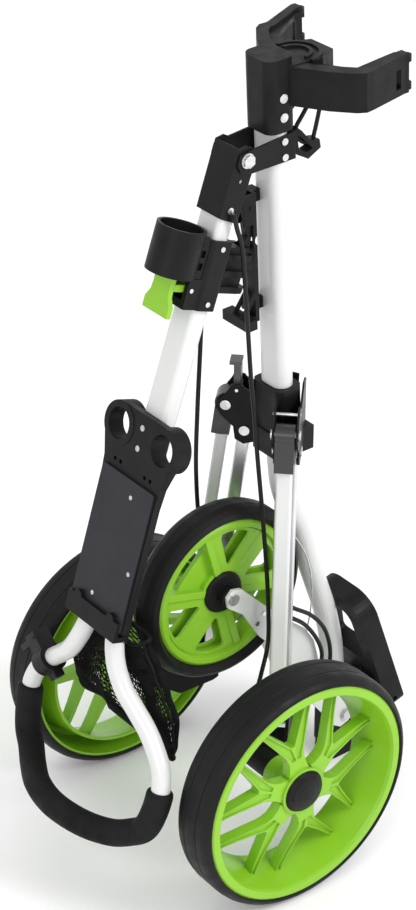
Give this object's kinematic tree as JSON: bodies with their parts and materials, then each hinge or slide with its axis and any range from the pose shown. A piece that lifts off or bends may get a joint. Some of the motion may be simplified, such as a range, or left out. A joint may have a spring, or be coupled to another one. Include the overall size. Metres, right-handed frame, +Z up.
{
  "type": "golf push trolley",
  "caption": "Folded golf push trolley on rear wheels and a foot, with swing-down handle arm, bent grip loop, splayed parallelogram legs, front fork and bag cradles.",
  "frame": {"origin": "centre plane, on the floor, under the foot of the main frame", "axes": "+Z up, +X along the wheel axles to the right wheel, +Y to the bag side, -Y to the folded handle"},
  "size_m": [0.3952, 0.496, 0.9528],
  "materials": {
    "white_paint": "gloss",
    "black_plastic": "satin",
    "black_steel": "satin",
    "bright_steel": "bright",
    "lime_plastic": "satin",
    "tyre_rubber": "matte",
    "grey_plastic": "satin",
    "slate_panel": "satin",
    "bare_aluminium": "satin",
    "grip_foam": "matte",
    "net_fabric": "matte",
    "cable_sleeve": "satin"
  },
  "bodies": {
    "main_frame": {"main_tube": "white_paint", "upper_cradle": "black_plastic", "cradle_bolts": "bright_steel", "hinge_bracket": "black_steel", "hinge_rivets": "bright_steel", "hinge_bolt": "bright_steel", "catch_bracket": "black_plastic", "mid_bracket": "black_steel", "mid_bolts": "bright_steel", "lower_tube": "white_paint", "end_block": "black_plastic", "fork_bolt": "bright_steel", "rest_bracket": "black_plastic", "rest_pin": "bright_steel", "brake_cables": "cable_sleeve", "strap_cord": "cable_sleeve", "strap_hook": "black_plastic"},
    "handle_arm": {"arm_tube": "white_paint", "arm_channel": "black_steel", "channel_rivets": "bright_steel", "umbrella_holder": "black_plastic", "holder_clamp": "black_plastic", "holder_screws": "bright_steel", "console": "black_plastic", "console_panel": "slate_panel", "card_clip": "black_plastic", "console_screws": "bright_steel", "bar_plug": "black_plastic", "handle_bar": "white_paint", "foam_grip": "grip_foam", "brake_mount": "black_plastic", "mesh_bag": "net_fabric"},
    "catch_hook": {"catch_hook": "black_steel"},
    "leg_latch": {"leg_latch": "grey_plastic"},
    "bag_rest": {"bag_rest": "black_plastic"},
    "thumb_lever": {"thumb_lever": "lime_plastic"},
    "brake_lever": {"brake_lever": "black_plastic"},
    "leg_right": {"leg_right": "white_paint"},
    "link_right": {"link_right": "bare_aluminium"},
    "carrier_right": {"carrier_right": "black_plastic", "carrier_pins_right": "bright_steel"},
    "wheel_right": {"tyre_right": "tyre_rubber", "rim_right": "lime_plastic", "spider_right": "lime_plastic", "cap_right": "black_plastic"},
    "leg_left": {"leg_left": "white_paint"},
    "link_left": {"link_left": "bare_aluminium"},
    "carrier_left": {"carrier_left": "black_plastic", "carrier_pins_left": "bright_steel"},
    "wheel_left": {"tyre_left": "tyre_rubber", "rim_left": "lime_plastic", "spider_left": "lime_plastic", "cap_left": "black_plastic"},
    "front_fork": {"fork_plates": "white_paint", "fork_screws": "bright_steel", "front_axle": "bright_steel"},
    "front_wheel": {"tyre_front": "tyre_rubber", "rim_front": "lime_plastic", "spider_front": "lime_plastic", "front_hub": "black_plastic"}
  },
  "joints": [
    {"name": "handle_fold", "type": "hinge", "parent": "main_frame", "child": "handle_arm", "pos_m": [0, -0.1575, 0.851], "axis": [-1, 0, 0], "range_deg": [0, 125]},
    {"name": "fork_fold", "type": "hinge", "parent": "main_frame", "child": "front_fork", "pos_m": [0, -0.002, 0.075], "axis": [1, 0, 0], "range_deg": [0, 156.25]},
    {"name": "leg_fold_right", "type": "hinge", "parent": "main_frame", "child": "leg_right", "pos_m": [0.05268, -0.12418, 0.524], "axis": [-0.7071, -0.7071, 0], "range_deg": [0, 42]},
    {"name": "link_fold_right", "type": "hinge", "parent": "main_frame", "child": "link_right", "pos_m": [0.03748, -0.10898, 0.492], "axis": [-0.7071, -0.7071, 0], "range_deg": [0, 42]},
    {"name": "carrier_fold_right", "type": "hinge", "parent": "leg_right", "child": "carrier_right", "pos_m": [0.08397, -0.15547, 0.1879], "axis": [-0.7071, -0.7071, 0], "range_deg": [-42, 0]},
    {"name": "leg_fold_left", "type": "hinge", "parent": "main_frame", "child": "leg_left", "pos_m": [-0.05268, -0.12418, 0.524], "axis": [-0.7071, 0.7071, 0], "range_deg": [0, 42]},
    {"name": "link_fold_left", "type": "hinge", "parent": "main_frame", "child": "link_left", "pos_m": [-0.03748, -0.10898, 0.492], "axis": [-0.7071, 0.7071, 0], "range_deg": [0, 42]},
    {"name": "carrier_fold_left", "type": "hinge", "parent": "leg_left", "child": "carrier_left", "pos_m": [-0.08397, -0.15547, 0.1879], "axis": [-0.7071, 0.7071, 0], "range_deg": [-42, 0]},
    {"name": "wheel_spin_right", "type": "hinge", "parent": "carrier_right", "child": "wheel_right", "pos_m": [0.169, -0.2, 0.148], "axis": [1, 0, 0], "continuous": true},
    {"name": "wheel_spin_left", "type": "hinge", "parent": "carrier_left", "child": "wheel_left", "pos_m": [-0.169, -0.2, 0.148], "axis": [1, 0, 0], "continuous": true},
    {"name": "wheel_spin_front", "type": "hinge", "parent": "front_fork", "child": "front_wheel", "pos_m": [0, -0.179, 0.316], "axis": [1, 0, 0], "continuous": true},
    {"name": "bag_rest_fold", "type": "hinge", "parent": "main_frame", "child": "bag_rest", "pos_m": [0, 0.05, 0.092], "axis": [-1, 0, 0], "range_deg": [0, 80]},
    {"name": "leg_latch_turn", "type": "hinge", "parent": "main_frame", "child": "leg_latch", "pos_m": [-0.04384, -0.11534, 0.543], "axis": [-0.7071, 0.7071, 0], "range_deg": [-20, 0], "stiffness_Nm_per_rad": 0.5},
    {"name": "catch_hook_turn", "type": "hinge", "parent": "main_frame", "child": "catch_hook", "pos_m": [0, -0.14032, 0.78625], "axis": [1, 0, 0], "range_deg": [0, 5], "stiffness_Nm_per_rad": 0.3},
    {"name": "thumb_lever_turn", "type": "hinge", "parent": "handle_arm", "child": "thumb_lever", "pos_m": [0, -0.22883, 0.72024], "axis": [1, 0, 0], "range_deg": [0, 12], "stiffness_Nm_per_rad": 0.5},
    {"name": "brake_lever_turn", "type": "hinge", "parent": "handle_arm", "child": "brake_lever", "pos_m": [-0.11657, -0.347, 0.25674], "axis": [0, -1, 0], "range_deg": [0, 8], "stiffness_Nm_per_rad": 0.5}
  ],
  "couplings": [
    {"joint": "fork_fold", "follows": "handle_fold", "ratio": 1.25},
    {"joint": "link_fold_right", "follows": "leg_fold_right", "ratio": 1},
    {"joint": "carrier_fold_right", "follows": "leg_fold_right", "ratio": -1},
    {"joint": "leg_fold_left", "follows": "leg_fold_right", "ratio": 1},
    {"joint": "link_fold_left", "follows": "leg_fold_right", "ratio": 1},
    {"joint": "carrier_fold_left", "follows": "leg_fold_right", "ratio": -1}
  ]
}
